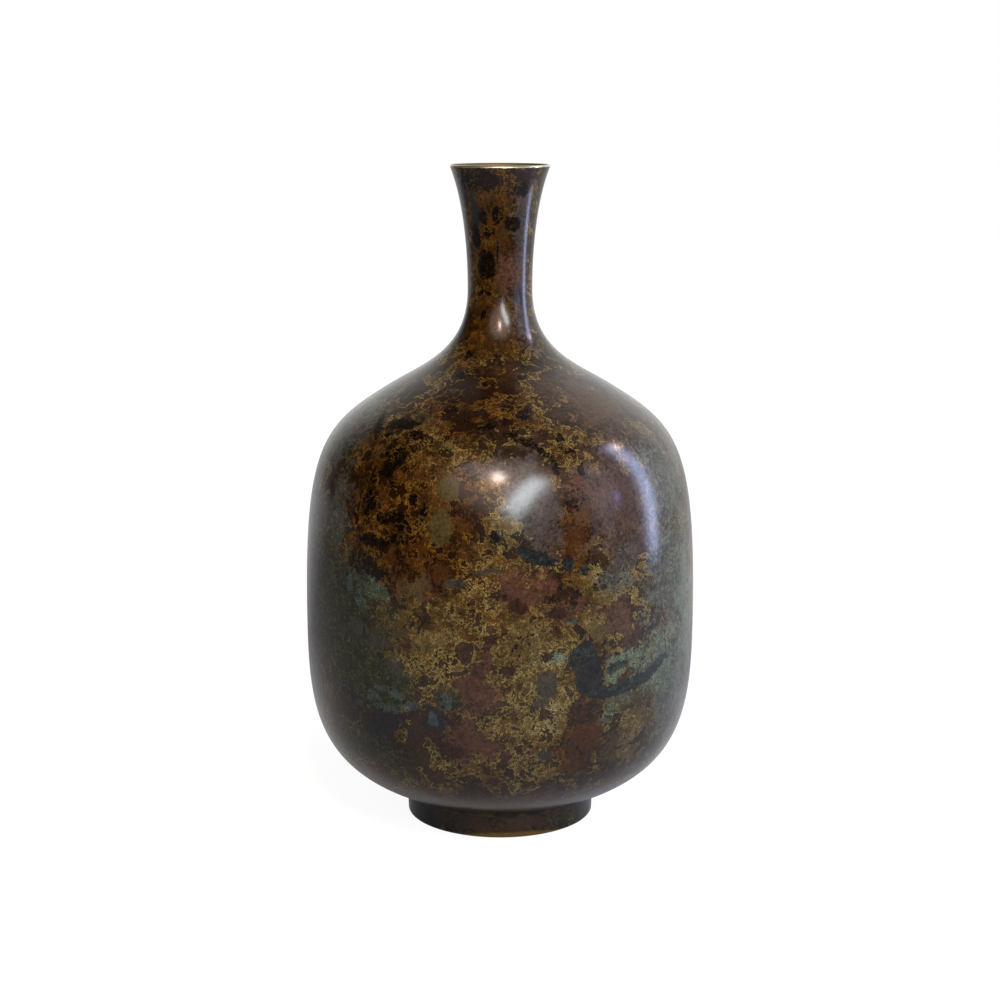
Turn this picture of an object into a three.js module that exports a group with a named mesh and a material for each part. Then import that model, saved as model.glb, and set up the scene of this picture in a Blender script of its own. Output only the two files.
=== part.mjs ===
// Bronze bottle vase: a cast belly with a narrow flared neck, standing on a low foot ring.
// The neck, the belly, the foot ring and the base plate are separate castings that are turned,
// seated in each other and brazed or soldered. Every piece is round about the Z axis.
// Millimetres, +Z up, origin on the table at the centre of the foot.

import * as THREE from "three";

// Outside radii, from the table up
const footRadius = 34.5; // foot ring at the table
const footTopRadius = 34.9; // foot ring where it meets the belly
const bellyRadius = 71.4; // the widest part
const shoulderRadius = 40.7; // where the shoulder turns from hollow to full
const waistRadius = 11.65; // the narrowest part of the neck
const mouthRadius = 17.8; // outer edge of the flared mouth

// Heights, each measured from the one below it
const footHeight = 9.8;
const bellyRise = 68.2; // foot ring to the widest part
const shoulderRise = 82.7; // widest part to the turn of the shoulder
const throatRise = 35.3; // turn of the shoulder to the waist of the neck
const mouthRise = 44; // waist of the neck to the top of the lip

// Slope of the outline, in degrees from horizontal
const undersideSlope = 18; // where the belly leaves the foot ring
const shoulderSlope = 148; // at the turn of the shoulder, rising inwards
const mouthSlope = 68.5; // at the lip, rising outwards
const rightAngle = 90; // the outline stands upright at the widest part and at the waist

// Fullness of each curve: how far it holds the slope of its lower and upper end, as a share of its rise
const undersideFullness = [0.54, 0.52];
const shoulderFullness = [0.76, 0.33];
const throatFullness = [0.41, 0.64];
const mouthFullness = [0.38, 0.27];

// Walls
const bellyWall = 2.8;
const neckWall = 2.2;
const lipThickness = 1.3; // the neck thins to this, and its edge is rounded over

// Neck joint: a thin sleeve below the neck drops into a bored collar on the belly
const neckJointDrop = 14; // from the waist down to the joint
const sleeveThickness = 1.1;
const sleeveLength = 4.2;

// Foot joint: a flat seat under the belly, and a low collar on the foot ring that centres it
const openingRadius = 27; // opening left in the belly by the casting core
const collarThickness = 1.5;
const ledgeThickness = 2.4; // top of the foot ring, which the base plate lies under
const footWall = 4.1; // foot ring at the table

// Base plate and the rounded edges of the foot
const basePlateThickness = 2.2;
const basePlateBevel = 0.4;
const footEdgeRadius = 0.7;

// Joint metal
const brazeLeg = 1.6; // how far the braze reaches along each side of its corner
const solderLeg = 1.0;
const fitClearance = 0.15; // radial, where one piece enters another
const metalGap = 0.05; // between joint metal and the castings it wets

// Facets
const roundSteps = 56;
const undersideSteps = 9;
const shoulderSteps = 11;
const throatSteps = 8;
const mouthSteps = 7;
const edgeSteps = 3;

const castBronze = new THREE.MeshStandardMaterial({ color: 0x5a4028, roughness: 0.34, metalness: 0.65 });
const brazeMetal = new THREE.MeshStandardMaterial({ color: 0x8a6a3a, roughness: 0.45, metalness: 0.9 });
const solderMetal = new THREE.MeshStandardMaterial({ color: 0x77787a, roughness: 0.5, metalness: 0.9 });

// Heights above the table
const bellyHeight = footHeight + bellyRise;
const shoulderHeight = bellyHeight + shoulderRise;
const waistHeight = shoulderHeight + throatRise;
const lipHeight = waistHeight + mouthRise;
const jointHeight = waistHeight - neckJointDrop;

const point = (radius, height) => new THREE.Vector2(radius, height);

function direction(degrees) {
  const angle = THREE.MathUtils.degToRad(degrees);
  return point(Math.cos(angle), Math.sin(angle));
}

// One stretch of the outline, leaving start and reaching end along the slopes given.
function stretch(start, startSlope, end, endSlope, fullness) {
  const rise = end.y - start.y;
  const leaving = start.clone().addScaledVector(direction(startSlope), fullness[0] * rise);
  const reaching = end.clone().addScaledVector(direction(endSlope), -fullness[1] * rise);
  return new THREE.CubicBezierCurve(start, leaving, reaching, end);
}

// How far along a curve it reaches a height or a radius, where the curve only rises or only narrows.
function shareAt(curve, axis, value) {
  const halvings = 40;
  let low = 0;
  let high = 1;
  const rising = curve.getPoint(1)[axis] > curve.getPoint(0)[axis];
  for (let i = 0; i < halvings; i++) {
    const middle = (low + high) / 2;
    if (curve.getPoint(middle)[axis] < value === rising) low = middle;
    else high = middle;
  }
  return (low + high) / 2;
}

// Points along part of a curve, moved into the vase by a wall that may change on the way.
function along(curve, from, to, steps, wallFrom = 0, wallTo = wallFrom) {
  const points = [];
  for (let i = 0; i <= steps; i++) {
    const share = THREE.MathUtils.lerp(from, to, i / steps);
    const tangent = curve.getTangent(share);
    const wall = THREE.MathUtils.lerp(wallFrom, wallTo, i / steps);
    points.push(curve.getPoint(share).add(point(-tangent.y, tangent.x).multiplyScalar(wall)));
  }
  return points;
}

// A rounded corner from one angle to another about a centre, in degrees.
function corner(centre, radius, from, to, steps = edgeSteps) {
  const points = [];
  for (let i = 0; i <= steps; i++) {
    points.push(centre.clone().addScaledVector(direction(THREE.MathUtils.lerp(from, to, i / steps)), radius));
  }
  return points;
}

// Where a wall's inner line, listed upwards, reaches a radius on its way in to the axis.
function crossing(line, radius) {
  const last = line.findIndex((p, i) => i > 0 && p.x < radius && line[i - 1].x >= radius);
  const share = (line[last - 1].x - radius) / (line[last - 1].x - line[last].x);
  return { kept: line.slice(0, last), at: line[last - 1].clone().lerp(line[last], share) };
}

function turned(name, profile, material) {
  const closed = profile[0].x === 0 ? profile : [...profile, profile[0].clone()];
  const geometry = new THREE.LatheGeometry(closed, roundSteps).rotateX(Math.PI / 2);
  const mesh = new THREE.Mesh(geometry, material);
  mesh.name = name;
  return mesh;
}

// The outline of the whole vase above the foot ring
const lipRadius = lipThickness / 2;
const lipCapRise = lipRadius * (1 + direction(mouthSlope).x);
const undersideStart = point(footTopRadius, footHeight);
const widest = point(bellyRadius, bellyHeight);
const shoulderTurn = point(shoulderRadius, shoulderHeight);
const waist = point(waistRadius, waistHeight);
const mouthEdge = point(mouthRadius, lipHeight - lipCapRise);
const underside = stretch(undersideStart, undersideSlope, widest, rightAngle, undersideFullness);
const shoulder = stretch(widest, rightAngle, shoulderTurn, shoulderSlope, shoulderFullness);
const throat = stretch(shoulderTurn, shoulderSlope, waist, rightAngle, throatFullness);
const mouth = stretch(waist, rightAngle, mouthEdge, mouthSlope, mouthFullness);

const jointShare = shareAt(throat, "y", jointHeight);
const jointRadius = throat.getPoint(jointShare).x;
const neckBore = jointRadius - neckWall;
const sleeveRadius = neckBore + sleeveThickness;
const collarBore = sleeveRadius + fitClearance;

// Inner wall of the belly, from the foot up to the collar that takes the neck's sleeve
const bellyInside = [
  ...along(underside, 0, 1, undersideSteps, bellyWall),
  ...along(shoulder, 0, 1, shoulderSteps, bellyWall).slice(1),
  ...along(throat, 0, 1, throatSteps, bellyWall).slice(1),
];
const collarFoot = crossing(bellyInside, collarBore);
const floorHeight = bellyInside[0].y;

function bellyCasting() {
  const outside = [
    ...along(underside, 0, 1, undersideSteps),
    ...along(shoulder, 0, 1, shoulderSteps).slice(1),
    ...along(throat, 0, jointShare, throatSteps).slice(1),
  ];
  const inside = [...collarFoot.kept, collarFoot.at, point(collarBore, jointHeight)].reverse();
  return turned(
    "belly",
    [point(openingRadius, footHeight), ...outside, ...inside, point(openingRadius, floorHeight)],
    castBronze,
  );
}

function neckCasting() {
  const sleeveEnd = jointHeight - sleeveLength;
  const lipCentre = mouthEdge.clone().addScaledVector(direction(mouthSlope + rightAngle), lipRadius);
  const outside = [
    ...along(throat, jointShare, 1, Math.ceil(throatSteps / 2)),
    ...along(mouth, 0, 1, mouthSteps).slice(1),
  ];
  const overTheLip = [mouthSlope - rightAngle, mouthSlope + rightAngle];
  const lip = corner(lipCentre, lipRadius, ...overTheLip, 2 * edgeSteps).slice(1, -1);
  const inside = [
    ...along(mouth, 1, 0, mouthSteps, lipThickness, neckWall),
    ...along(throat, 1, jointShare, Math.ceil(throatSteps / 2), neckWall).slice(1, -1),
  ].filter((p) => p.y > jointHeight);
  return turned(
    "neck",
    [
      point(sleeveRadius, sleeveEnd),
      point(sleeveRadius, jointHeight),
      ...outside,
      ...lip,
      ...inside,
      point(neckBore, jointHeight),
      point(neckBore, sleeveEnd),
    ],
    castBronze,
  );
}

const footBore = footRadius - footWall;
const ledgeHeight = footHeight - ledgeThickness;
const collarRadius = openingRadius - fitClearance;

function footCasting() {
  const outerEdge = point(footRadius - footEdgeRadius, footEdgeRadius);
  const innerEdge = point(footBore + footEdgeRadius, footEdgeRadius);
  return turned(
    "foot_ring",
    [
      ...corner(innerEdge, footEdgeRadius, -2 * rightAngle, -rightAngle),
      ...corner(outerEdge, footEdgeRadius, -rightAngle, 0),
      point(footTopRadius, footHeight),
      point(collarRadius, footHeight),
      point(collarRadius, floorHeight),
      point(collarRadius - collarThickness, floorHeight),
      point(collarRadius - collarThickness, ledgeHeight),
      point(footBore, ledgeHeight),
    ],
    castBronze,
  );
}

const basePlateRadius = footBore - fitClearance;
const basePlateUnderside = ledgeHeight - basePlateThickness;

function basePlate() {
  return turned(
    "base_plate",
    [
      point(0, basePlateUnderside),
      point(basePlateRadius - basePlateBevel, basePlateUnderside),
      point(basePlateRadius, basePlateUnderside + basePlateBevel),
      point(basePlateRadius, ledgeHeight),
      point(0, ledgeHeight),
    ],
    castBronze,
  );
}

// Solder run round the edge of the base plate, in its corner with the foot ring.
function basePlateSolder() {
  const top = basePlateUnderside - metalGap;
  const wall = footBore - metalGap;
  const face = corner(point(wall - solderLeg, top - solderLeg), solderLeg, rightAngle, 0);
  return turned("base_plate_solder", [...face, point(wall, top)], solderMetal);
}

// Braze in the corner under the belly, drawn hollow between the belly and the side of the foot ring.
function footBraze() {
  const lowHeight = footHeight - brazeLeg;
  const sideShare = (lowHeight - footEdgeRadius) / (footHeight - footEdgeRadius);
  const low = point(THREE.MathUtils.lerp(footRadius, footTopRadius, sideShare) + metalGap, lowHeight);
  const reach = shareAt(underside, "x", footTopRadius + brazeLeg);
  const top = along(underside, reach, 0, edgeSteps).map((p) => p.sub(point(-metalGap, metalGap)));
  const hollow = new THREE.QuadraticBezierCurve(low, top.at(-1), top[0]);
  return turned("foot_braze", [...hollow.getPoints(edgeSteps), ...top.slice(1)], brazeMetal);
}

// Braze inside the shoulder, where the neck's sleeve comes through the collar.
function neckBraze() {
  const sleeveSide = sleeveRadius + metalGap;
  const outer = crossing(bellyInside, collarBore + brazeLeg);
  const wetted = [outer.at, ...collarFoot.kept.slice(outer.kept.length), collarFoot.at];
  const roof = wetted.map((p) => p.clone().sub(point(metalGap, metalGap)));
  return turned(
    "neck_braze",
    [point(sleeveSide, roof[0].y), ...roof, point(sleeveSide, roof.at(-1).y)],
    brazeMetal,
  );
}

const vase = new THREE.Group();
vase.add(bellyCasting(), neckCasting(), footCasting(), basePlate());
vase.add(basePlateSolder(), footBraze(), neckBraze());

export default vase;
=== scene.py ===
import math

import bmesh
import bpy
from mathutils import Euler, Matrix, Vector, noise
from mathutils.geometry import interpolate_bezier


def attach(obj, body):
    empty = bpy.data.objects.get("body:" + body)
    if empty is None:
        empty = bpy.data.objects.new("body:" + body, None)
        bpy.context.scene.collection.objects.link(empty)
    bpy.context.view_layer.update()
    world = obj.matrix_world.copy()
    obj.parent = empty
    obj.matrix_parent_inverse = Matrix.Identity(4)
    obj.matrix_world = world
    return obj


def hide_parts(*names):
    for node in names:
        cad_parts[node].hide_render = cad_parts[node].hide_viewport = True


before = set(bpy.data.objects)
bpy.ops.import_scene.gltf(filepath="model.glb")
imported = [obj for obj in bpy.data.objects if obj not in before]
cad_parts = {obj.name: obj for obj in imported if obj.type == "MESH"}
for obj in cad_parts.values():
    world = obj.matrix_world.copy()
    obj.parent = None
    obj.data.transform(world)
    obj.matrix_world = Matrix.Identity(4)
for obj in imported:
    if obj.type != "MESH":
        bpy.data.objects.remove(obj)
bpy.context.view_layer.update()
mm = 0.001
print("frame loaded:", ", ".join(sorted(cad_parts)))


# Camera, a little above the lip and looking slightly down, as in a tabletop photograph

cameraSettings = {
    "distance": 0.72386,
    "height": 0.26303,
    "tilt": 78.68,  # degrees up from straight down
    "lens": 72.23,
}

cameraData = bpy.data.cameras.new("tabletopCamera")
cameraData.lens = cameraSettings["lens"]
camera = bpy.data.objects.new("tabletopCamera", cameraData)
camera.location = (0, -cameraSettings["distance"], cameraSettings["height"])
camera.rotation_euler = Euler((math.radians(cameraSettings["tilt"]), 0, 0))
bpy.context.scene.collection.objects.link(camera)
bpy.context.scene.camera = camera
bpy.context.scene.view_settings.view_transform = "Standard"
print("camera placed")


# Node and colour helpers

def linear(hexColour):
    shares = [int(hexColour[i:i + 2], 16) / 255 for i in (1, 3, 5)]
    return [c / 12.92 if c <= 0.04045 else ((c + 0.055) / 1.055) ** 2.4 for c in shares] + [1]


def addNode(tree, kind, inputs=None, **settings):
    node = tree.nodes.new("ShaderNode" + kind)
    for name, value in settings.items():
        setattr(node, name, value)
    for name, value in (inputs or {}).items():
        if isinstance(value, bpy.types.Node):
            value = value.outputs[0]
        if isinstance(value, bpy.types.NodeSocket):
            tree.links.new(value, node.inputs[name])
        elif isinstance(value, str):
            node.inputs[name].default_value = linear(value)
        else:
            node.inputs[name].default_value = value
    return node


def newMaterial(name):
    material = bpy.data.materials.new(name)
    material.use_nodes = True
    material.node_tree.nodes.clear()
    return material, material.node_tree


# Patinated bronze: a leaded cast bronze, turned smooth, coloured hot with iron and copper salts and waxed.
# An ochre crust with bright rims lies over brown and is holed by bubbles in the salts. Rust brown, oxide
# red, slate, olive and black show where the salts pooled, verdigris and moss green lie low on both sides.
# The grey purple patches round the front and the grey-green lichen patches on both edges are partly patina
# and partly a painted sheen. The wax gives a soft gloss.

patina = {
    "girth": 1.246,  # mm along the widest part for each degree round the vase
    "swirlSize": 9.0,  # mm, slow wandering of all edges
    "fraySize": 1.3,  # mm, fine fraying of all edges
    "patchDrift": (24.0, 5.0),  # mm that the swirl and the fray move the patches
    "spotDrift": (4.5, 4.6),  # mm that they move the spots
    "crustDrift": (8.0, 4.0),  # mm that they move the bubbles and the mottling
    "slowSize": 22.0,  # mm, slow changes of the ground and of the rims
    "slowEdge": (0.42, 0.6),  # of that noise, from one ground colour to the other
    "rimFade": (0.36, 0.56),  # of that noise, from faint to bright rims
    "islandSize": 8.0,  # mm, islands of the crust
    "islandSlope": 14.0,  # mm of depth over the whole range of the islands' noise
    "bubbleSize": 5.2,  # mm between large bubbles
    "bubble": 1.75,  # mm, radius of a large bubble
    "bubbleSwing": 0.6,  # mm, how far that radius changes from place to place
    "fineBubble": 0.7,  # share that large bubbles lose where the crust is fine
    "poreSize": 1.7,  # mm between small bubbles
    "pore": 0.62,  # mm, radius of a small bubble
    "finePore": 0.25,  # mm that small bubbles gain where the crust is fine
    "rounding": 0.2,  # mm, rounding where two holes meet, or a hole and the outer edge
    "pitWidth": (-0.7, -0.1),  # mm from the crust's edge, the dark pit outside it
    "crustEdge": (-0.1, 0.1),  # mm, softness of the crust's edge
    "rimWidth": (0.1, 0.4),  # mm from the crust's edge, where the bright rim ends
    "spotEdge": (-0.1, 0.15),  # of a spot's half width, softness of its edge
    "markBlend": 0.2,  # of a mark's half width, rounding where two marks meet
    "mottleSize": 6.0,  # mm, blotches of colour in the crust
    "mottleEdge": (0.42, 0.58),  # of that noise, from the darker to the lighter crust
    "curlSize": 2.4,  # mm, fine curls and pits with bright rims
    "curlLevel": 0.57,  # of that noise, where the rims of the curls run
    "grainSize": 0.5,  # mm
    "grainShade": (0.3, 1.55),  # darkest and lightest share of the colour
    "heightShades": [(50, 90, 0.74, 1.0), (185, 225, 1.0, 0.85)],  # mm up from and to, share there and there
    "scratchSize": 0.35,  # mm between buffing scratches
    "scratchStretch": (0.06, 0.06, 1),  # the scratches run round the vase
    "scratchDepth": 0.4,  # share of the relief
    "relief": 0.06,  # mm
    "waxRelief": 0.035,  # mm
    "bareLip": (239.6, 240.0),  # mm up, where the lip turns bare
    "bareFoot": (2.6, 0.9),  # mm up to which the foot is bare, most worn and least worn
    "wornAt": 10.0,  # mm round from the front, the middle of the most worn stretch
    "wornReach": (15.0, 45.0),  # mm round from there, where the wear starts and stops falling off
    "metallic": 0.15,
    "roughness": 0.34,
    "specular": 0.05,  # under the wax the crust itself hardly shines
    "wax": 0.7,
    "waxRoughness": 0.18,
    "waxIor": 1.44,
}

# Places on the vase: degrees round from the front (to the right), height in mm,
# half width in degrees, half height in mm, and the turn in degrees of a turned mark.
patinaMarks = {
    "rust": [
        (-37, 126, 25, 34), (-10, 160, 34, 12), (-20, 112, 16, 14), (21, 119, 6, 14, 8),
        (-13, 128, 9, 18), (-14, 184, 60, 14), (22, 44, 7, 13, -10), (-36, 45, 9, 5), (-8, 219, 56, 38),
    ],
    "ochre": [
        (-6, 95, 24, 13), (10, 76, 14, 22), (-23, 82, 13, 14), (3, 38, 20, 8), (10, 52, 12, 12),
        (25, 144, 9, 8), (4, 158, 14, 5), (-32, 132, 20, 26), (28, 100, 7, 14, 10), (-5, 224, 50, 13),
        (-20, 198, 26, 4), (-14, 148, 16, 5), (-12, 113, 18, 18), (20, 116, 5, 13), (-14, 178, 34, 6),
        (22, 187, 12, 6), (10, 104, 14, 8), (-6, 132, 12, 14),
    ],
    "verdigris": [
        (52, 68, 11, 13), (37, 74, 5, 4), (17, 77, 3, 3), (36, 59, 6, 2.6), (40, 72, 8, 4, 10),
        (31, 54, 3, 3), (66, 84, 7, 34), (-39, 98, 4, 7), (140, 70, 32, 46), (108, 44, 20, 14),
    ],
    # Grey-green patches, mostly on both edges of the belly: partly patina and partly a painted sheen
    "lichen": [
        (58, 100, 12, 18), (60, 132, 12, 16), (62, 52, 12, 14), (35, 106, 5, 9), (-54, 122, 5, 14, 6),
        (-66, 148, 12, 9), (96, 100, 14, 30),
    ],
    "khaki": [
        (11, 74, 7, 9), (1, 122, 5, 8), (17, 61, 4, 8), (12, 53, 5, 5), (-19, 84, 6, 4),
        (31, 102, 6, 16, 8), (26, 87, 5, 4), (41, 48, 6, 8), (9, 84, 8, 5), (170, 70, 12, 20),
        (-150, 66, 12, 16),
    ],
    "moss": [
        (-48, 94, 12, 12), (-45, 76, 15, 20), (-42, 40, 13, 8), (-64, 88, 14, 26), (-34, 60, 9, 5),
        (-33, 68, 8, 6), (52, 5, 22, 5), (-14, 62, 4, 5), (-142, 104, 26, 34),
    ],
    # Grey purple patches, most round the front highlights and on the right of the neck: partly patina and
    # partly a painted sheen
    "purple": [
        (12, 124, 6, 14), (8, 138, 6, 9), (27, 126, 7, 12), (36, 112, 6, 8), (-5, 141, 9, 4),
        (37, 200, 20, 20), (34, 220, 16, 16), (100, 118, 24, 22), (-100, 60, 22, 20),
        (-148, 140, 26, 14),
    ],
    "amber": [(-8, 215, 50, 30), (-10, 184, 46, 14)],
    "fine": [(10, 68, 17, 22), (-22, 80, 16, 14), (-2, 104, 24, 8), (42, 46, 10, 8)],
    "brown": [
        (35, 128, 13, 18), (50, 158, 20, 8), (0, 18, 80, 6), (-22, 101, 5, 3), (34, 89, 4, 6),
        (0, 5, 60, 4),
    ],
    "oxideRed": [
        (-6.5, 66, 5.5, 8.5), (-4, 79, 2.6, 6.5, 6), (-9, 48, 8, 8), (20, 94, 4, 2.6), (27, 134, 5, 3),
        (18, 204, 22, 6), (8, 101, 9, 7), (120, 86, 12, 16), (-128, 60, 14, 12),
    ],
    "orangeRust": [
        (25, 48, 6, 8, 12), (22, 38, 6, 5), (21, 118, 4.5, 11), (-17, 106, 5, 4), (-28, 102, 4, 6),
        (-110, 122, 12, 16),
    ],
    "olive": [
        (42, 57, 10, 5), (-25, 100, 4.5, 4), (34, 42, 4.5, 5), (-33, 154, 5, 2.4), (-84, 112, 7, 12),
        (88, 60, 9, 7),
    ],
    "navy": [
        (-33, 52, 8, 4.4, -4), (-38, 47.5, 5, 3), (-20, 55, 4, 5), (-47, 58, 5, 6),
        (-46.5, 99, 1.6, 4.6), (-42, 103, 6, 1.3), (36, 192, 8, 4), (-40, 222, 7, 12), (-55, 232, 9, 7),
        (-56, 5, 30, 6),
    ],
}

# Spots with clearer edges, in the same units
patinaSpots = {
    "sage": [(-15.5, 135, 3.1, 4.6), (-16.6, 122, 3.2, 6.5), (28.3, 84.4, 2.8, 2.9)],
    "slate": [
        (23.4, 76.6, 4.3, 5.8), (25.4, 69.2, 4.7, 6.0), (34.5, 71.5, 3.6, 1.8, 8), (31, 63.4, 8, 2.6),
        (41, 64.6, 8, 2.5, 14), (50, 68.6, 7, 2.2, 22), (19.4, 109.6, 2.2, 2.6),
        (9.5, 112.5, 6.5, 2.8, -18), (24, 107, 2.0, 1.6), (128, 110, 5, 2.4, 20), (135, 107, 4, 4),
        (-158, 84, 6, 2.6, -12), (-164, 80, 4, 3),
    ],
    "umber": [
        (12.9, 68.3, 3.6, 5.0, 8), (11.5, 61.4, 2.4, 2.0), (-3, 107.5, 5, 0.8), (13, 42.4, 2.2, 2.2),
        (-12, 103, 4, 1.4), (14, 93, 1.6, 1.6), (-36, 80, 4, 2.4), (-44, 84, 3, 3), (-30, 72, 3, 2.4),
    ],
    "maroon": [(5.1, 95.7, 2.7, 3.0), (16, 93, 3.4, 1.8), (-3, 85, 2.2, 1.6), (-14, 44, 4, 2.4)],
    "black": [
        (-35.0, 142.0, 4.6, 3.6, 30), (-36.8, 138.6, 3.4, 1.8), (-42, 133, 1.2, 7),
        (-41.5, 126.5, 2.8, 3.4), (-33, 123.4, 5.0, 1.8, 12), (-28.5, 122, 2.6, 2.4),
        (-29.5, 117.4, 3.4, 2.8), (-38, 115, 5.6, 2.4), (-43, 107.5, 4.2, 4), (-38, 105, 6, 2.4, -16),
        (-40, 153, 8, 1.8), (-44, 150.5, 3, 1.6, -20), (-22, 158, 4, 0.9), (-5, 153, 4, 0.9, 6),
        (4, 151, 3, 1.0, -10), (3, 159, 3, 0.8), (8, 149.5, 5, 0.9, -12), (14, 146, 3, 0.8, -30),
        (10, 157, 3.4, 1.4), (17, 141, 1.2, 3, 20), (23, 146, 1.8, 1), (21, 150, 2, 0.8),
        (26, 140, 1.2, 2.0), (-31, 150, 4, 1.2, -10), (-38.5, 146, 1.6, 3), (-33, 134.5, 2.6, 1.2),
        (-26, 130, 1.6, 1.6), (-22, 126, 1.4, 2.6), (-25, 205, 18, 6), (-30, 235, 28, 4.5),
        (-26, 222, 8, 2.2), (-4, 223, 9, 3), (-17, 217.5, 9, 1.6), (-42, 215, 9, 4), (20, 220, 14, 3.4),
        (30, 232, 12, 2.4), (-28, 187, 5, 1.6), (-33, 174, 5, 1.4), (-27, 168, 6, 1.2),
        (-8, 165.4, 5, 0.9), (15, 167, 4, 0.9), (-30, 195.4, 17, 0.8), (-4, 210, 2, 4),
        (-52, 152, 5, 1.6, -30), (-120, 140, 6, 4), (168, 112, 5, 8), (96, 138, 6, 3), (-90, 84, 4, 7),
        (-1.5, 119, 2.0, 2.2),
    ],
    "teal": [
        (-30.4, 62.5, 3, 1.8, -10), (-14.7, 61.5, 1.5, 3.4), (-19, 55, 1.4, 2.6), (-36, 64, 2, 1.4),
        (-26, 59, 4, 1.8, 20), (-33, 57, 4, 1.8), (-38, 60, 3, 1.6), (20, 90, 1.2, 1.0),
        (-47, 99, 1.4, 4), (-43, 94, 1.2, 3),
    ],
}


def nearMarks(tree, place, marks):
    # How deep a spot lies in the nearest mark: 1 at its middle, 0 on its edge, below 0 outside.
    nearest = None
    for angle, height, halfWidth, halfHeight, *turn in marks:
        middle = Vector((angle * patina["girth"], height, 0))
        stretch = Vector((1 / (halfWidth * patina["girth"]), 1 / halfHeight, 0))
        spot = place
        if turn:
            spot = addNode(tree, "VectorRotate", {"Vector": place, "Center": middle,
                                                  "Angle": math.radians(-turn[0])}, rotation_type="Z_AXIS")
        shift = (-middle.x * stretch.x, -middle.y * stretch.y, 0)
        spot = addNode(tree, "VectorMath", {0: spot, 1: stretch, 2: shift}, operation="MULTIPLY_ADD")
        away = addNode(tree, "VectorMath", {0: spot}, operation="LENGTH").outputs["Value"]
        if nearest:
            away = addNode(tree, "Math", {0: nearest, 1: away, 2: patina["markBlend"]},
                           operation="SMOOTH_MIN").outputs[0]
        nearest = away
    return addNode(tree, "Math", {0: 1.0, 1: nearest}, operation="SUBTRACT").outputs[0]


def deepest(tree, depths):
    most = depths[0]
    for depth in depths[1:]:
        most = addNode(tree, "Math", {0: most, 1: depth}, operation="MAXIMUM").outputs[0]
    return most


def layOver(tree, below, colour, depth, edge, share=1.0):
    # The colour covers its share of what is below where the depth rises from edge[0] to edge[1].
    cover = addNode(tree, "MapRange", {"Value": depth, "From Min": edge[0], "From Max": edge[1],
                                       "To Max": share}, interpolation_type="SMOOTHSTEP")
    return addNode(tree, "Mix", {"Factor": cover, 6: below, 7: colour}, data_type="RGBA").outputs[2]


def drift(tree, place, noises, reaches):
    # The place moved by each noise's colour, up to about half its reach in mm each way.
    for noiseNode, reach in zip(noises, reaches):
        centred = addNode(tree, "VectorMath", {0: noiseNode.outputs["Color"], 1: (0.5, 0.5, 0.5)},
                          operation="SUBTRACT")
        place = addNode(tree, "VectorMath", {0: centred, 1: (reach,) * 3, 2: place},
                        operation="MULTIPLY_ADD").outputs[0]
    return place


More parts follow.
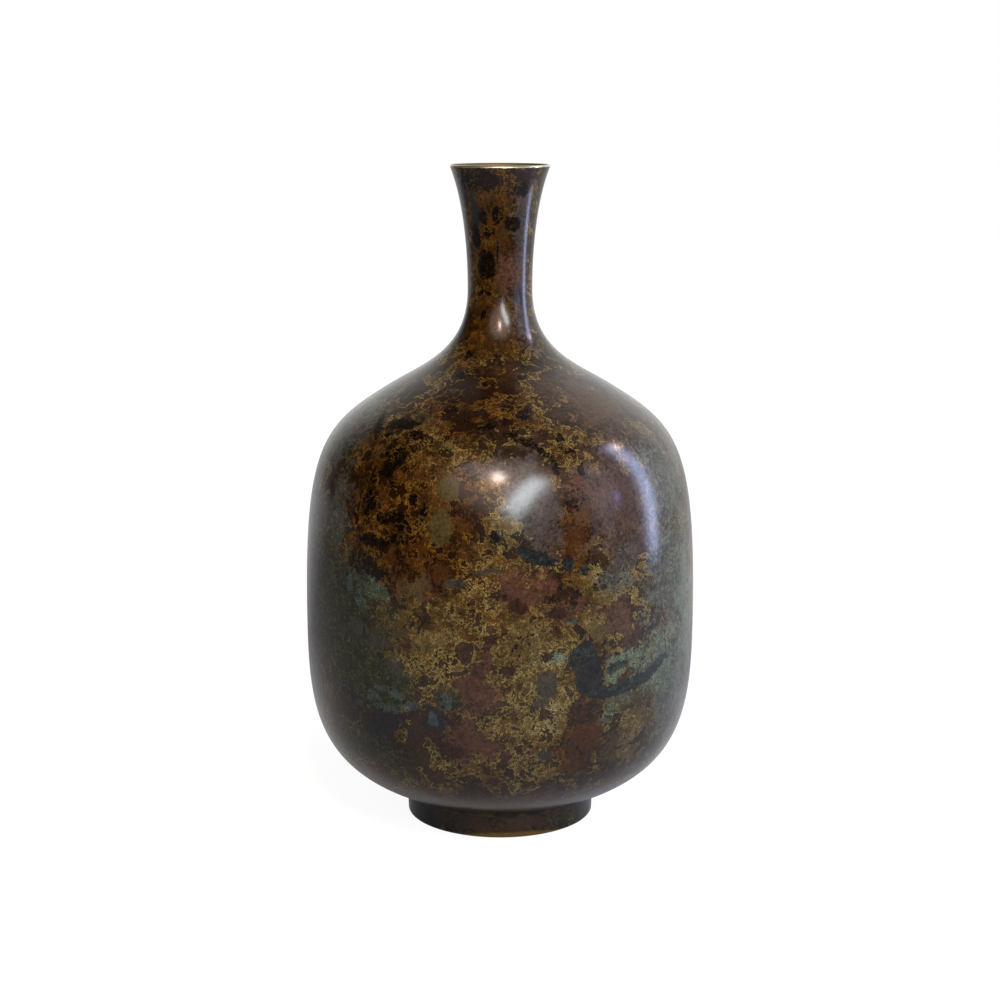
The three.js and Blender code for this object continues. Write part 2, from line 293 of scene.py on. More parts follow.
def makePatinatedBronze():
    material, tree = newMaterial("patinatedBronze")
    objectPlace = addNode(tree, "TexCoord").outputs["Object"]
    inMm = addNode(tree, "VectorMath", {0: objectPlace, "Scale": 1 / mm}, operation="SCALE").outputs[0]
    axes = addNode(tree, "SeparateXYZ", {0: inMm})
    up = axes.outputs["Z"]

    # Unrolled place: mm round the widest part and mm up
    towardsFront = addNode(tree, "Math", {0: axes.outputs["Y"], 1: -1.0}, operation="MULTIPLY")
    turned = addNode(tree, "Math", {0: axes.outputs["X"], 1: towardsFront}, operation="ARCTAN2")
    around = addNode(tree, "Math", {0: turned, 1: math.degrees(patina["girth"])}, operation="MULTIPLY")
    flat = addNode(tree, "CombineXYZ", {"X": around, "Y": up}).outputs[0]

    # Edges wander slowly and fray finely
    swirl = addNode(tree, "TexNoise", {"Vector": inMm, "Scale": 1 / patina["swirlSize"], "Detail": 5,
                                       "Roughness": 0.62})
    fray = addNode(tree, "TexNoise", {"Vector": inMm, "Scale": 1 / patina["fraySize"], "Detail": 3,
                                      "Roughness": 0.6})
    place = drift(tree, flat, (swirl, fray), patina["patchDrift"])
    nearPlace = drift(tree, flat, (swirl, fray), patina["spotDrift"])
    frayed = drift(tree, inMm, (swirl, fray), patina["crustDrift"])

    islands = addNode(tree, "TexNoise", {"Vector": inMm, "Scale": 1 / patina["islandSize"], "Detail": 9,
                                         "Roughness": 0.64, "Distortion": 0.5}).outputs[0]
    mottle = addNode(tree, "TexNoise", {"Vector": frayed, "Scale": 1 / patina["mottleSize"], "Detail": 6,
                                        "Roughness": 0.6}).outputs[0]
    grain = addNode(tree, "TexNoise", {"Vector": inMm, "Scale": 1 / patina["grainSize"], "Detail": 2,
                                       "Roughness": 0.6}).outputs[0]
    slow = addNode(tree, "TexNoise", {"Vector": inMm, "Scale": 1 / patina["slowSize"], "Detail": 4,
                                      "Roughness": 0.6}).outputs[0]
    patches = {name: nearMarks(tree, place, marks) for name, marks in patinaMarks.items()}

    # Holes in the crust: mm to the edge of the nearest large or small bubble
    fine = addNode(tree, "MapRange", {"Value": patches["fine"], "From Min": -0.3, "From Max": 0.4}).outputs[0]
    bubbles = addNode(tree, "TexVoronoi", {"Vector": frayed, "Scale": 1 / patina["bubbleSize"]})
    bubbleEdge = addNode(tree, "MapRange", {"Value": swirl.outputs[0], "From Min": 0.38, "From Max": 0.62,
                                            "To Min": -patina["bubble"] - patina["bubbleSwing"],
                                            "To Max": patina["bubbleSwing"] - patina["bubble"]})
    bubbleEdge = addNode(tree, "Math", {0: fine, 1: patina["fineBubble"] * patina["bubble"], 2: bubbleEdge},
                         operation="MULTIPLY_ADD")
    bubbles = addNode(tree, "Math", {0: bubbles.outputs["Distance"], 1: patina["bubbleSize"], 2: bubbleEdge},
                      operation="MULTIPLY_ADD")
    pores = addNode(tree, "TexVoronoi", {"Vector": frayed, "Scale": 1 / patina["poreSize"]})
    poreEdge = addNode(tree, "MapRange", {"Value": islands, "From Min": 0.42, "From Max": 0.58,
                                          "To Min": -patina["pore"], "To Max": 0.0})
    poreEdge = addNode(tree, "Math", {0: fine, 1: -patina["finePore"], 2: poreEdge}, operation="MULTIPLY_ADD")
    pores = addNode(tree, "Math", {0: pores.outputs["Distance"], 1: patina["poreSize"], 2: poreEdge},
                    operation="MULTIPLY_ADD")
    holes = addNode(tree, "Math", {0: bubbles, 1: pores, 2: patina["rounding"]}, operation="SMOOTH_MIN")

    # Depth in mm from the rim of the crust, below 0 outside. The crust reaches well over the ochre, the
    # verdigris and the khaki, and less over the calm patches
    calm = deepest(tree, [patches[name] for name in ("purple", "brown", "orangeRust", "olive", "navy",
                                                     "oxideRed")])
    reach = deepest(tree, [patches[name] for name in ("ochre", "verdigris", "khaki")])
    reach = addNode(tree, "MapRange", {"Value": reach, "From Min": -0.4, "From Max": 0.4, "To Min": -0.4,
                                       "To Max": 1.3})
    calmReach = addNode(tree, "MapRange", {"Value": calm, "From Min": -0.2, "From Max": 0.5, "To Min": 0.0,
                                           "To Max": 2.2})
    reach = addNode(tree, "Math", {0: reach, 1: calmReach}, operation="SUBTRACT")
    spread = addNode(tree, "Math", {0: islands, 1: patina["islandSlope"], 2: -patina["islandSlope"] / 2},
                     operation="MULTIPLY_ADD")
    spread = addNode(tree, "Math", {0: spread, 1: reach}, operation="ADD")
    depth = addNode(tree, "Math", {0: spread, 1: holes, 2: patina["rounding"]},
                    operation="SMOOTH_MIN").outputs[0]

    # Ground, crust and rims
    ground = layOver(tree, "#281a10", "#38271a", slow, patina["slowEdge"])
    ground = layOver(tree, ground, "#221005", patches["rust"], (0.0, 0.5))
    pit = addNode(tree, "Mix", {"Factor": 0.6, 6: ground, 7: "#080402"}, data_type="RGBA").outputs[2]
    ground = layOver(tree, ground, pit, depth, patina["pitWidth"])
    crust = layOver(tree, "#33210e", "#4b3415", mottle, patina["mottleEdge"])
    crust = layOver(tree, crust, "#564522", patches["khaki"], (-0.3, 0.5), 0.75)
    rustCrust = layOver(tree, "#221104", "#3c2208", mottle, patina["mottleEdge"])
    crust = layOver(tree, crust, rustCrust, patches["rust"], (0.0, 0.5))
    rim = layOver(tree, "#8b7b42", "#8d7843", up, (80, 105))
    # The grey-green lichen rims are partly patina and partly a painted sheen
    for name, tint, edge, share in (
        ("rust", "#75531b", (0.0, 0.5), 1.0), ("khaki", "#948655", (-0.1, 0.5), 1.0),
        ("oxideRed", "#80503a", (-0.1, 0.4), 0.8), ("verdigris", "#7b886f", (-0.1, 0.4), 1.0),
        ("moss", "#425034", (-0.2, 0.3), 0.85), ("lichen", "#6a6d5c", (-0.2, 0.3), 0.85),
    ):
        rim = layOver(tree, rim, tint, patches[name], edge, share)
    brokenRim = layOver(tree, crust, rim, slow, patina["rimFade"])
    crust = layOver(tree, brokenRim, crust, depth, patina["rimWidth"])
    colour = layOver(tree, ground, crust, depth, patina["crustEdge"])

    # Tints over ground and crust alike, broken by the mottling, then spots with clearer edges
    broken = addNode(tree, "Math", {0: fray.outputs[0], 1: 2.2, 2: -2.4}, operation="MULTIPLY_ADD")
    broken = addNode(tree, "Math", {0: mottle, 1: 2.6, 2: broken}, operation="MULTIPLY_ADD")
    # The grey purple and the grey-green lichen tints are partly patina and partly a painted sheen
    for name, tint, share in (
        ("amber", "#402809", 0.5), ("lichen", "#44463d", 0.72), ("verdigris", "#4f5d49", 0.6),
        ("moss", "#1b2414", 0.78), ("purple", "#433c39", 0.72), ("brown", "#4c3728", 0.65),
        ("oxideRed", "#4f3426", 0.68), ("orangeRust", "#4b2d11", 0.6), ("olive", "#443a22", 0.7),
        ("navy", "#181d24", 0.78),
    ):
        ragged = addNode(tree, "Math", {0: patches[name], 1: broken}, operation="ADD").outputs[0]
        colour = layOver(tree, colour, tint, ragged, (-0.3, 0.5), share)
    for name, tint, share in (("black", "#070403", 0.92), ("teal", "#384747", 0.7)):
        spot = nearMarks(tree, nearPlace, patinaSpots[name])
        colour = layOver(tree, colour, tint, spot, patina["spotEdge"], share)

    # Fine pits with bright rims, most on the crust and the green patches and few on the calm ones
    curls = addNode(tree, "TexNoise", {"Vector": inMm, "Scale": 1 / patina["curlSize"], "Detail": 3,
                                       "Roughness": 0.55, "Distortion": 0.8}).outputs[0]
    lively = addNode(tree, "MapRange", {"Value": calm, "From Min": -0.1, "From Max": 0.4, "To Min": 1.0,
                                        "To Max": 0.3})
    patchy = addNode(tree, "MapRange", {"Value": swirl.outputs[0], "From Min": 0.44, "From Max": 0.58,
                                        "To Min": 0.35})
    onCrust = addNode(tree, "MapRange", {"Value": depth, "From Min": -0.3, "From Max": 0.3, "To Min": 0.35})
    for part in (patchy, onCrust):
        lively = addNode(tree, "Math", {0: lively, 1: part}, operation="MULTIPLY")
    lush = deepest(tree, [patches[name] for name in ("moss", "verdigris", "lichen")])
    lush = addNode(tree, "MapRange", {"Value": lush, "From Min": -0.3, "From Max": 0.2, "To Max": 0.9})
    lively = addNode(tree, "Math", {0: lively, 1: lush}, operation="MAXIMUM")
    offRim = addNode(tree, "Math", {0: curls, 1: patina["curlLevel"]}, operation="SUBTRACT")
    offRim = addNode(tree, "Math", {0: offRim}, operation="ABSOLUTE")
    curlRim = addNode(tree, "MapRange", {"Value": offRim, "From Min": 0.01, "From Max": 0.045, "To Min": 1.0,
                                         "To Max": 0.0})
    curlPit = addNode(tree, "MapRange", {"Value": curls, "From Min": 0.6, "From Max": 0.65})
    for part, tint, share in ((curlRim, rim, 0.45), (curlPit, "#0c0704", 0.6)):
        part = addNode(tree, "Math", {0: part, 1: lively}, operation="MULTIPLY").outputs[0]
        colour = layOver(tree, colour, tint, part, (0.0, 1.0), share)

    # Smooth spots over the pits. The slate ones are streaked along their length
    brushed = addNode(tree, "VectorMath", {0: nearPlace, 1: (0.08, 0.9, 1)}, operation="MULTIPLY")
    brushed = addNode(tree, "TexNoise", {"Vector": brushed, "Scale": 1.0, "Detail": 3, "Roughness": 0.6})
    slate = layOver(tree, "#141a1c", "#38433a", brushed.outputs[0], (0.5, 0.72))
    for name, tint in (("sage", "#443b1f"), ("slate", slate), ("umber", "#35312a"), ("maroon", "#2b1812")):
        spot = nearMarks(tree, nearPlace, patinaSpots[name])
        colour = layOver(tree, colour, tint, spot, patina["spotEdge"], 0.9)

    # Fine grain over everything, and a darker colour low down and high on the neck
    uneven = addNode(tree, "Math", {0: fray.outputs[0], 1: 0.9, 2: grain}, operation="MULTIPLY_ADD")
    uneven = addNode(tree, "Math", {0: mottle, 1: 0.6, 2: uneven}, operation="MULTIPLY_ADD")
    shade = addNode(tree, "MapRange", {"Value": uneven, "From Min": 0.9, "From Max": 1.6,
                                       "To Min": patina["grainShade"][0], "To Max": patina["grainShade"][1]})
    for low, high, lowShare, highShare in patina["heightShades"]:
        heightShade = addNode(tree, "MapRange", {"Value": up, "From Min": low, "From Max": high,
                                                 "To Min": lowShare, "To Max": highShare})
        shade = addNode(tree, "Math", {0: shade, 1: heightShade}, operation="MULTIPLY")
    colour = addNode(tree, "VectorMath", {0: colour, "Scale": shade}, operation="SCALE").outputs[0]

    # Bare metal where the lip and the foot are rubbed
    height = addNode(tree, "Math", {0: fray.outputs[0], 1: 0.9, 2: up}, operation="MULTIPLY_ADD").outputs[0]
    bareLip = addNode(tree, "MapRange", {"Value": height, "From Min": patina["bareLip"][0],
                                         "From Max": patina["bareLip"][1]})
    wear = addNode(tree, "Math", {0: around, 1: patina["wornAt"]}, operation="SUBTRACT")
    wear = addNode(tree, "Math", {0: wear}, operation="ABSOLUTE")
    wear = addNode(tree, "MapRange", {"Value": wear, "From Min": patina["wornReach"][0],
                                      "From Max": patina["wornReach"][1], "To Min": patina["bareFoot"][0],
                                      "To Max": patina["bareFoot"][1]})
    bareFoot = addNode(tree, "Math", {0: wear, 1: height}, operation="SUBTRACT")
    bareFoot = addNode(tree, "MapRange", {"Value": bareFoot, "From Min": -0.5, "From Max": 0.7,
                                          "To Max": 0.7})
    bare = addNode(tree, "Math", {0: bareLip, 1: bareFoot}, operation="MAXIMUM").outputs[0]
    bareColour = layOver(tree, "#8a6a30", "#d0c59e", up, (20, 200))
    colour = layOver(tree, colour, bareColour, bare, (0.0, 1.0))
    metallic = addNode(tree, "MapRange", {"Value": bare, "To Min": patina["metallic"], "To Max": 1.0})

    # Buffing scratches round the vase, and the low relief of the crust
    stretched = addNode(tree, "VectorMath", {0: inMm, 1: patina["scratchStretch"]}, operation="MULTIPLY")
    scratches = addNode(tree, "TexNoise", {"Vector": stretched, "Scale": 1 / patina["scratchSize"],
                                           "Detail": 3})
    relief = addNode(tree, "Math", {0: scratches, 1: patina["scratchDepth"], 2: islands},
                     operation="MULTIPLY_ADD")
    bump = addNode(tree, "Bump", {"Height": relief, "Strength": 0.35, "Distance": patina["relief"] * mm})
    waxRelief = addNode(tree, "Math", {0: grain, 1: 0.4, 2: relief}, operation="MULTIPLY_ADD")
    waxBump = addNode(tree, "Bump", {"Height": waxRelief, "Strength": 0.6,
                                     "Distance": patina["waxRelief"] * mm})

    shader = addNode(tree, "BsdfPrincipled", {
        "Base Color": colour, "Metallic": metallic, "Roughness": patina["roughness"],
        "Specular IOR Level": patina["specular"], "Normal": bump, "Coat Weight": patina["wax"],
        "Coat Roughness": patina["waxRoughness"], "Coat IOR": patina["waxIor"], "Coat Normal": waxBump,
    })
    addNode(tree, "OutputMaterial", {"Surface": shader})
    return material


# As-cast bronze inside the vase: never polished, dull and nearly black brown from the investment.

castSettings = {
    "grainSize": 1.2,  # mm
    "stainSize": 14,  # mm
    "bareLip": (238.2, 239.2),  # mm up, where stems and fingers keep the edge of the mouth bare
    "metallic": (0.4, 0.8),  # dull skin, bare edge
    "roughness": 0.62,
    "relief": 0.15,  # mm
}


def makeCastSkin():
    material, tree = newMaterial("castSkin")
    objectPlace = addNode(tree, "TexCoord").outputs["Object"]
    grain = addNode(tree, "TexNoise", {"Vector": objectPlace, "Scale": 1 / (castSettings["grainSize"] * mm),
                                       "Detail": 5})
    stain = addNode(tree, "TexNoise", {"Vector": objectPlace, "Scale": 1 / (castSettings["stainSize"] * mm),
                                       "Detail": 4})
    colour = layOver(tree, "#2a2018", "#3c3121", stain.outputs[0], (0.42, 0.6))
    axes = addNode(tree, "SeparateXYZ", {0: objectPlace})
    bareLip = addNode(tree, "MapRange", {"Value": axes.outputs["Z"],
                                         "From Min": castSettings["bareLip"][0] * mm,
                                         "From Max": castSettings["bareLip"][1] * mm}).outputs[0]
    colour = layOver(tree, colour, "#6e6240", bareLip, (0.0, 1.0))
    metallic = addNode(tree, "MapRange", {"Value": bareLip, "To Min": castSettings["metallic"][0],
                                          "To Max": castSettings["metallic"][1]})
    bump = addNode(tree, "Bump", {"Height": grain, "Strength": 0.6, "Distance": castSettings["relief"] * mm})
    shader = addNode(tree, "BsdfPrincipled", {"Base Color": colour, "Metallic": metallic,
                                              "Roughness": castSettings["roughness"], "Normal": bump})
    addNode(tree, "OutputMaterial", {"Surface": shader})
    return material


def makeFiller(name, filler):
    # A filler metal that ran and froze: two shades in blotches, and low ripples.
    material, tree = newMaterial(name)
    objectPlace = addNode(tree, "TexCoord").outputs["Object"]
    ripple = addNode(tree, "TexNoise", {"Vector": objectPlace, "Scale": 1 / (filler["rippleSize"] * mm),
                                        "Detail": filler["rippleDetail"]})
    stain = ripple
    if "stainSize" in filler:
        stain = addNode(tree, "TexNoise", {"Vector": objectPlace, "Scale": 1 / (filler["stainSize"] * mm),
                                           "Detail": 6, "Roughness": 0.6})
    colour = layOver(tree, filler["dark"], filler["light"], stain.outputs[0], filler["edge"])
    bump = addNode(tree, "Bump", {"Height": ripple, "Strength": filler["strength"],
                                  "Distance": filler["relief"] * mm})
    shader = addNode(tree, "BsdfPrincipled", {"Base Color": colour, "Metallic": filler["metallic"],
                                              "Roughness": filler["roughness"], "Normal": bump})
    addNode(tree, "OutputMaterial", {"Surface": shader})
    return material


# Brazed seam: brass filler, filed back and coloured with the bronze, so it stays yellower and darker.
brazeSettings = {"stainSize": 4, "rippleSize": 1.4, "rippleDetail": 2, "dark": "#1f140d", "light": "#46351f",
                 "edge": (0.44, 0.6), "strength": 0.5, "relief": 0.12, "metallic": 0.4, "roughness": 0.42}

# Soft solder: tin and lead, wiped while hot, dull grey with brighter ripples.
solderSettings = {"rippleSize": 2.2, "rippleDetail": 3, "dark": "#6c6d6e", "light": "#8b8c8d",
                  "edge": (0.42, 0.6), "strength": 0.7, "relief": 0.2, "metallic": 1.0, "roughness": 0.46}

patinatedBronze = makePatinatedBronze()
castSkin = makeCastSkin()
brazedSeam = makeFiller("brazedSeam", brazeSettings)
softSolder = makeFiller("softSolder", solderSettings)
print("materials mixed:", len(patinatedBronze.node_tree.nodes), "nodes in the patina")


# Modelling helpers. A line is a list of points in the plane of radius (x) and height (z), in metres.

def point(radius, height):
    return Vector((radius * mm, 0, height * mm))


def slopeVector(degrees):
    return Vector((math.cos(math.radians(degrees)), 0, math.sin(math.radians(degrees))))


def stretchBetween(low, high, steps):
    start, end = point(low["radius"], low["height"]), point(high["radius"], high["height"])
    rise = end.z - start.z
    leaving = start + slopeVector(low["slope"]) * low["holdAbove"] * rise
    reaching = end - slopeVector(high["slope"]) * high["holdBelow"] * rise
    return interpolate_bezier(start, leaving, reaching, end, steps)


def cutWhere(line, beyond):
    # Splits a line where beyond(point) turns positive, with the cut in both halves.
    after = next(i for i, spot in enumerate(line) if beyond(spot) > 0)
    before, past = beyond(line[after - 1]), beyond(line[after])
    cut = line[after - 1].lerp(line[after], -before / (past - before))
    return line[:after] + [cut], [cut] + line[after:]


def insideOf(line, wallAt):
    # The line moved towards the axis by the wall's thickness.
    moved = []
    for i, spot in enumerate(line):
        along = line[min(i + 1, len(line) - 1)] - line[max(i - 1, 0)]
        moved.append(spot + Vector((-along.z, 0, along.x)).normalized() * wallAt(spot))
    return moved


def arcPoints(centre, radius, fromAngle, toAngle, steps):
    turns = [fromAngle + (toAngle - fromAngle) * i / steps for i in range(steps + 1)]
    return [centre + slopeVector(turn) * radius for turn in turns]


def spinProfile(profile, steps, closed=True):
    bm = bmesh.new()
    verts = [bm.verts.new(spot) for spot in profile]
    ends = verts[1:] + verts[:1] if closed else verts[1:]
    edges = [bm.edges.new(pair) for pair in zip(verts, ends)]
    bmesh.ops.spin(bm, geom=verts + edges, axis=(0, 0, 1), cent=(0, 0, 0), angle=2 * math.pi,
                   steps=steps, use_merge=True)
    bmesh.ops.remove_doubles(bm, verts=bm.verts, dist=0.001 * mm)
    bmesh.ops.recalc_face_normals(bm, faces=bm.faces)
    return bm


def makePiece(bm, name, materials, node, sharpAngle=32):
    for face in bm.faces:
        face.smooth = True
        middle = face.calc_center_median()
        facesAxis = face.normal.x * middle.x + face.normal.y * middle.y < 0
        face.material_index = len(materials) - 1 if facesAxis else 0
    for edge in bm.edges:
        edge.smooth = edge.calc_face_angle(0) < math.radians(sharpAngle)
    mesh = bpy.data.meshes.new(name)
    bm.to_mesh(mesh)
    bm.free()
    for material in materials:
        mesh.materials.append(material)
    piece = bpy.data.objects.new(name, mesh)
    bpy.context.scene.collection.objects.link(piece)
    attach(piece, "root")
    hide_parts(node)
    print("piece made:", name, len(mesh.vertices), "vertices")
    return piece


# Outline of the vase above the foot ring, from the foot to the mouth.
# A hold is how far the curve keeps the slope of that end, as a share of the curve's rise.

outline = {
    "stations": [
        {"radius": 34.9, "height": 9.8, "slope": 18, "holdAbove": 0.54},
        {"radius": 71.4, "height": 78.0, "slope": 90, "holdBelow": 0.52, "holdAbove": 0.76},
        {"radius": 40.7, "height": 160.7, "slope": 148, "holdBelow": 0.33, "holdAbove": 0.41},
        {"radius": 11.65, "height": 196.0, "slope": 90, "holdBelow": 0.64, "holdAbove": 0.38},
        {"radius": 17.8, "height": 239.112, "slope": 68.5, "holdBelow": 0.27},
    ],
    "steps": [64, 76, 56, 56],
    "joint": 182.0,  # height where the neck is set on the belly
}

stations = outline["stations"]
outside = [point(stations[0]["radius"], stations[0]["height"])]
for low, high, count in zip(stations, stations[1:], outline["steps"]):
    outside += stretchBetween(low, high, count)[1:]
bellyLine, neckLine = cutWhere(outside, lambda spot: spot.z - outline["joint"] * mm)
jointRadius = bellyLine[-1].x / mm


# Belly

belly = {"wall": 2.8, "opening": 27.0, "bore": 13.53, "around": 256}

bellyInside = insideOf(outside[:1] + outside[4:-4:4] + outside[-1:], lambda spot: belly["wall"] * mm)
bellyInside, _ = cutWhere(bellyInside, lambda spot: belly["bore"] * mm - spot.x)
bellyProfile = [point(belly["opening"], stations[0]["height"])] + bellyLine
bellyProfile += [point(belly["bore"], outline["joint"])] + bellyInside[::-1]
bellyProfile += [point(belly["opening"], bellyInside[0].z / mm)]
makePiece(spinProfile(bellyProfile, belly["around"]), "belly_casting", [patinatedBronze, castSkin],
          "belly")


# Neck, with the sleeve that drops into the belly and a rounded lip

neck = {"wall": 2.2, "lip": 1.3, "sleeve": 13.38, "sleeveEnd": 177.8, "lipSteps": 10, "around": 192}

mouth, waist = stations[-1], stations[-2]
lipRadius = neck["lip"] / 2 * mm
lipCentre = neckLine[-1] + slopeVector(mouth["slope"] + 90) * lipRadius
lipLine = arcPoints(lipCentre, lipRadius, mouth["slope"] - 90, mouth["slope"] + 90, neck["lipSteps"])


def neckWallAt(spot):
    share = min(max((spot.z / mm - waist["height"]) / (mouth["height"] - waist["height"]), 0), 1)
    return (neck["wall"] + (neck["lip"] - neck["wall"]) * share) * mm


bore = jointRadius - neck["wall"]
neckInside = [spot for spot in insideOf(neckLine, neckWallAt) if spot.z > outline["joint"] * mm]
neckProfile = [point(neck["sleeve"], neck["sleeveEnd"]), point(neck["sleeve"], outline["joint"])]
neckProfile += neckLine + lipLine[1:-1] + neckInside[::-1]
neckProfile += [point(bore, outline["joint"]), point(bore, neck["sleeveEnd"])]
makePiece(spinProfile(neckProfile, neck["around"]), "neck_casting", [patinatedBronze, castSkin],
          "neck")


# Foot ring, with the collar that centres it in the opening of the belly

footRing = {"radius": 34.5, "bore": 30.4, "ledge": 7.4, "collar": 26.85, "collarBore": 25.35,
            "rounding": 0.7, "around": 224}

footTop = stations[0]
collarTop = bellyInside[0].z / mm
footBm = spinProfile([
    point(footRing["bore"], 0), point(footRing["radius"], 0), point(footTop["radius"], footTop["height"]),
    point(footRing["collar"], footTop["height"]), point(footRing["collar"], collarTop),
    point(footRing["collarBore"], collarTop), point(footRing["collarBore"], footRing["ledge"]),
    point(footRing["bore"], footRing["ledge"]),
], footRing["around"])
tableEdges = [e for e in footBm.edges if all(abs(v.co.z) < 0.01 * mm for v in e.verts) and
              abs(e.verts[0].co.length - e.verts[1].co.length) < 0.01 * mm]
bmesh.ops.bevel(footBm, geom=tableEdges, offset=footRing["rounding"] * mm, segments=5, profile=0.5,
                affect="EDGES", material=-1)
makePiece(footBm, "foot_ring_casting", [patinatedBronze, castSkin], "foot_ring")


# Base plate, a turned disc with a chamfered lower edge

basePlate = {"radius": 30.25, "under": 5.2, "chamfer": 0.4, "around": 128}

plateBm = spinProfile([
    point(0, basePlate["under"]), point(basePlate["radius"], basePlate["under"]),
    point(basePlate["radius"], footRing["ledge"]), point(0, footRing["ledge"]),
], basePlate["around"], closed=False)
lowEdges = [e for e in plateBm.edges if all(
    abs(v.co.z - basePlate["under"] * mm) < 0.01 * mm and v.co.xy.length > 0.99 * basePlate["radius"] * mm
    for v in e.verts)]
bmesh.ops.bevel(plateBm, geom=lowEdges, offset=basePlate["chamfer"] * mm, segments=2, profile=0.5,
                affect="EDGES", material=-1)
makePiece(plateBm, "base_plate_disc", [castSkin], "base_plate")


# Braze fillet in the corner under the belly

footFillet = {"leg": 1.6, "gap": 0.05, "steps": 8, "around": 288}

corner = point(footTop["radius"] + footFillet["gap"], footTop["height"] - footFillet["gap"])
low = corner - point(0, footFillet["leg"])
reached, _ = cutWhere(outside, lambda spot: spot.x - (footTop["radius"] + footFillet["leg"]) * mm)
wetted = [spot + point(footFillet["gap"], -footFillet["gap"]) for spot in reached]
hollow = interpolate_bezier(low, low.lerp(corner, 0.66), wetted[-1].lerp(corner, 0.66), wetted[-1],
                            footFillet["steps"])
makePiece(spinProfile(hollow + wetted[-2::-1], footFillet["around"]), "foot_braze_fillet", [brazedSeam],
          "foot_braze")


# Solder bead round the base plate, a little lumpy where it was wiped

solderBead = {"leg": 1.0, "gap": 0.05, "lump": 0.12, "lumpSize": 5.0, "steps": 6, "around": 192}

beadTop = point(footRing["bore"] - solderBead["gap"], basePlate["under"] - solderBead["gap"])
beadCentre = beadTop - point(solderBead["leg"], solderBead["leg"])
beadFace = arcPoints(beadCentre, solderBead["leg"] * mm, 90, 0, solderBead["steps"])
beadBm = spinProfile(beadFace + [beadTop], solderBead["around"])
for vert in beadBm.verts:
    out = vert.co.xy.normalized().to_3d()
    top = out * beadTop.x + Vector((0, 0, beadTop.z))
    lump = 0.5 + 0.5 * noise.noise(vert.co / (solderBead["lumpSize"] * mm))
    vert.co = vert.co.lerp(top, solderBead["lump"] * lump * 2)
makePiece(beadBm, "base_plate_bead", [softSolder], "base_plate_solder")


# The braze inside the shoulder keeps its CAD shape

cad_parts["neck_braze"].data.materials.clear()
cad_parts["neck_braze"].data.materials.append(brazedSeam)
print("pieces done")


# Floor: matt white paper, seen white by the camera but keeping a soft shadow. The vase mirrors some white
# from the floor behind and beside it, and darkness from the floor far in front.

floorSettings = {
    "size": 3.0, "paper": "#b8b8b8", "beyond": "#161513",
    "seenShare": 0.7,  # of what the camera sees that glows, the rest is lit paper
    "behindShare": 0.38, "behindFrom": 0.12, "behindTo": 0.42, "rightward": 0.35,
    "besideShare": 0.24, "besideFrom": 0.15, "besideTo": 0.3, "halfBeside": 0.05,
    "glow": (1.33, 1.43), "glowReach": (0.1, 0.6),
    "frontFrom": -0.2, "frontTo": -0.5,
}

floorMaterial, tree = newMaterial("whitePaper")
rays = addNode(tree, "LightPath")
seen = addNode(tree, "Math", {0: rays.outputs["Is Camera Ray"], 1: rays.outputs["Is Transmission Ray"]},
               operation="MAXIMUM")
floorPlace = addNode(tree, "TexCoord").outputs["Object"]
floorAxes = addNode(tree, "SeparateXYZ", {0: floorPlace})
behind = addNode(tree, "Math", {0: floorAxes.outputs["X"], 1: floorSettings["rightward"],
                                2: floorAxes.outputs["Y"]}, operation="MULTIPLY_ADD")
behind = addNode(tree, "MapRange", {"Value": behind, "From Min": floorSettings["behindFrom"],
                                    "From Max": floorSettings["behindTo"],
                                    "To Max": floorSettings["behindShare"]})
away = addNode(tree, "VectorMath", {0: floorPlace}, operation="LENGTH").outputs["Value"]
beside = addNode(tree, "MapRange", {"Value": away, "From Min": floorSettings["besideFrom"],
                                    "From Max": floorSettings["besideTo"],
                                    "To Min": floorSettings["besideShare"], "To Max": 0.0})
notInFront = addNode(tree, "MapRange", {"Value": floorAxes.outputs["Y"],
                                        "From Min": -floorSettings["halfBeside"],
                                        "From Max": floorSettings["halfBeside"]})
beside = addNode(tree, "Math", {0: beside, 1: notInFront}, operation="MULTIPLY")
behind = addNode(tree, "Math", {0: behind, 1: beside}, operation="MAXIMUM")
seen = addNode(tree, "Math", {0: seen, 1: floorSettings["seenShare"]}, operation="MULTIPLY")
mirrored = addNode(tree, "Math", {0: rays.outputs["Is Glossy Ray"], 1: behind}, operation="MULTIPLY")
share = addNode(tree, "Math", {0: seen, 1: mirrored}, operation="ADD")
strength = addNode(tree, "MapRange", {"Value": away, "From Min": floorSettings["glowReach"][0],
                                      "From Max": floorSettings["glowReach"][1],
                                      "To Min": floorSettings["glow"][0], "To Max": floorSettings["glow"][1]})
inFront = addNode(tree, "MapRange", {"Value": floorAxes.outputs["Y"], "From Min": floorSettings["frontFrom"],
                                     "From Max": floorSettings["frontTo"]})
inFront = addNode(tree, "Math", {0: inFront, 1: rays.outputs["Is Glossy Ray"]}, operation="MULTIPLY")
paperColour = addNode(tree, "Mix", {"Factor": inFront, 6: floorSettings["paper"], 7: floorSettings["beyond"]},
                      data_type="RGBA").outputs[2]
paper = addNode(tree, "BsdfDiffuse", {"Color": paperColour})
white = addNode(tree, "Emission", {"Color": "#ffffff", "Strength": strength})
surface = addNode(tree, "MixShader", {0: share, 1: paper, 2: white})
addNode(tree, "OutputMaterial", {"Surface": surface})

floorBm = bmesh.new()
bmesh.ops.create_grid(floorBm, x_segments=1, y_segments=1, size=floorSettings["size"])
floorMesh = bpy.data.meshes.new("paperFloor")
floorBm.to_mesh(floorMesh)
floorBm.free()
floorMesh.materials.append(floorMaterial)
floor = bpy.data.objects.new("paperFloor", floorMesh)
bpy.context.scene.collection.objects.link(floor)


# World: white to the camera, and a room that is dim behind the camera and bright behind the vase

room = {"front": "#202022", "back": "#fafcfa", "fromY": 0.15, "toY": 0.9, "rightward": 0.5}

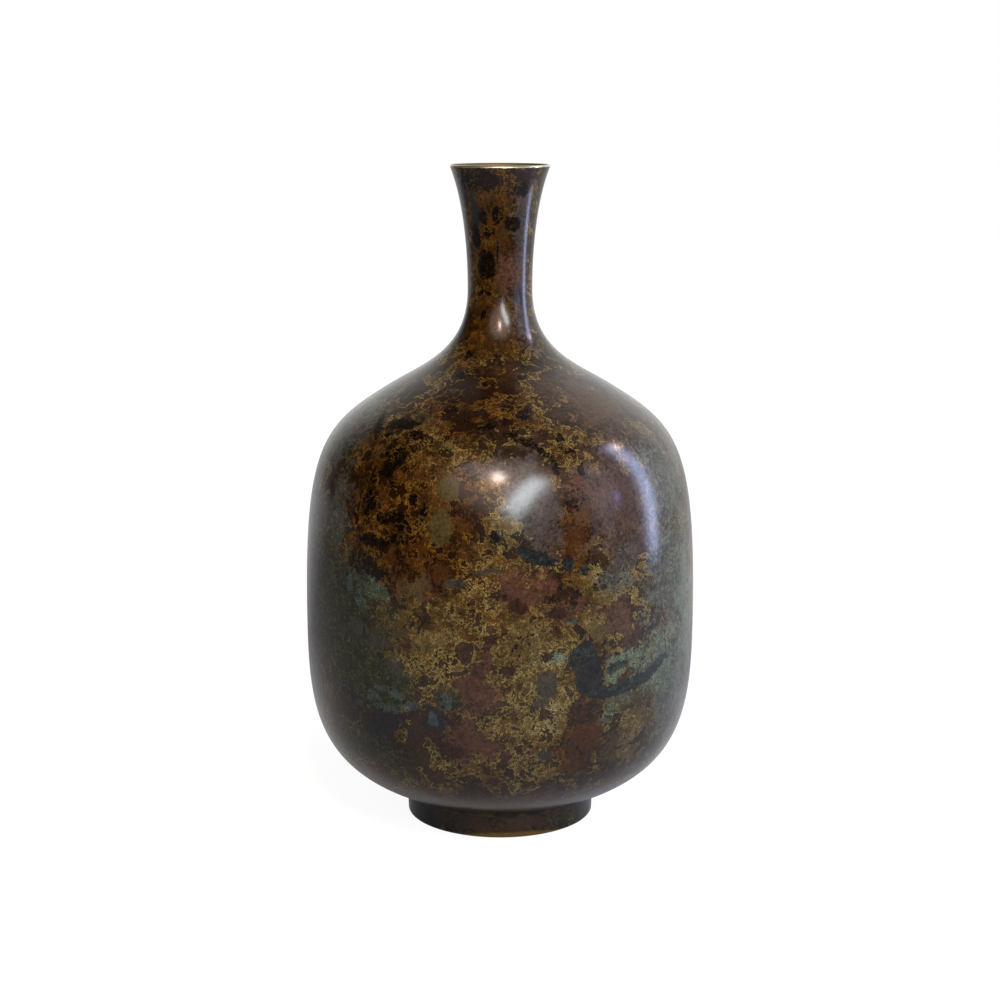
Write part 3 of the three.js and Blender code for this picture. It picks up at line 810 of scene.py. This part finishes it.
world = bpy.data.worlds.new("studioRoom")
world.use_nodes = True
tree = world.node_tree
tree.nodes.clear()
direction = addNode(tree, "SeparateXYZ", {0: addNode(tree, "TexCoord").outputs["Generated"]})
lean = addNode(tree, "Math", {0: direction.outputs["X"], 1: room["rightward"], 2: direction.outputs["Y"]},
               operation="MULTIPLY_ADD")
roomColour = layOver(tree, room["front"], room["back"], lean.outputs[0], (room["fromY"], room["toY"]))
rays = addNode(tree, "LightPath")
sky = addNode(tree, "Mix", {"Factor": rays.outputs["Is Camera Ray"], 6: roomColour, 7: "#ffffff"},
              data_type="RGBA").outputs[2]
addNode(tree, "OutputWorld", {"Surface": addNode(tree, "Background", {"Color": sky, "Strength": 1.0})})
bpy.context.scene.world = world


# Lamps: a small warm lamp in a wide warm shade and a slanted panel near the camera, and on the right a tall
# cool window with a pale curtain before it and two small glints. Angles are seen from the lamps' target.

lamps = {
    "warmLamp": {"azimuth": -1, "elevation": 38.5, "distance": 0.7, "size": (0.03, 0.11), "turn": 0,
                 "shape": "ELLIPSE", "colour": "#ffe8dc", "power": 1.6},
    "warmShade": {"azimuth": 0, "elevation": 36, "distance": 0.72, "size": (0.8, 0.6), "turn": 0,
                  "shape": "ELLIPSE", "colour": "#ffe6da", "power": 3.2},
    "slantedPanel": {"azimuth": 16, "elevation": 24, "distance": 0.8, "size": (0.43, 0.14), "turn": 49,
                     "shape": "RECTANGLE", "colour": "#dfeef6", "power": 4.8},
    "tallWindow": {"azimuth": 98, "elevation": 17, "distance": 0.41, "size": (0.065, 0.4), "turn": 0,
                   "shape": "RECTANGLE", "colour": "#bccdff", "power": 1.15},
    "paleCurtain": {"azimuth": 67, "elevation": 20, "distance": 0.6, "size": (0.22, 0.45), "turn": 0,
                    "shape": "ELLIPSE", "colour": "#c8d6ee", "power": 0.5},
    "warmSpot": {"azimuth": 103, "elevation": 39, "distance": 0.51, "size": (0.03, 0.03), "turn": 0,
                 "shape": "ELLIPSE", "colour": "#ffdcc8", "power": 0.12},
    "blueSpot": {"azimuth": 74, "elevation": 11, "distance": 0.42, "size": (0.012, 0.03), "turn": 0,
                 "shape": "ELLIPSE", "colour": "#8f9cff", "power": 0.04},
}

target = Vector((0, -0.03, 0.13))  # inside the upper belly, a little in front of its axis
for name, lamp in lamps.items():
    lampData = bpy.data.lights.new(name, "AREA")
    lampData.shape = lamp["shape"]
    lampData.size, lampData.size_y = lamp["size"]
    lampData.color = linear(lamp["colour"])[:3]
    lampData.energy = lamp["power"]
    lampObject = bpy.data.objects.new(name, lampData)
    azimuth, elevation = math.radians(lamp["azimuth"]), math.radians(lamp["elevation"])
    back = Vector((math.sin(azimuth) * math.cos(elevation), -math.cos(azimuth) * math.cos(elevation),
                   math.sin(elevation)))
    lampObject.location = target + back * lamp["distance"]
    aim = back.to_track_quat("Z", "Y").to_matrix()
    turn = Euler((0, 0, math.radians(lamp["turn"]))).to_matrix()
    lampObject.rotation_euler = (aim @ turn).to_euler()
    lampObject.visible_camera = False
    bpy.context.scene.collection.objects.link(lampObject)
print("stage lit")
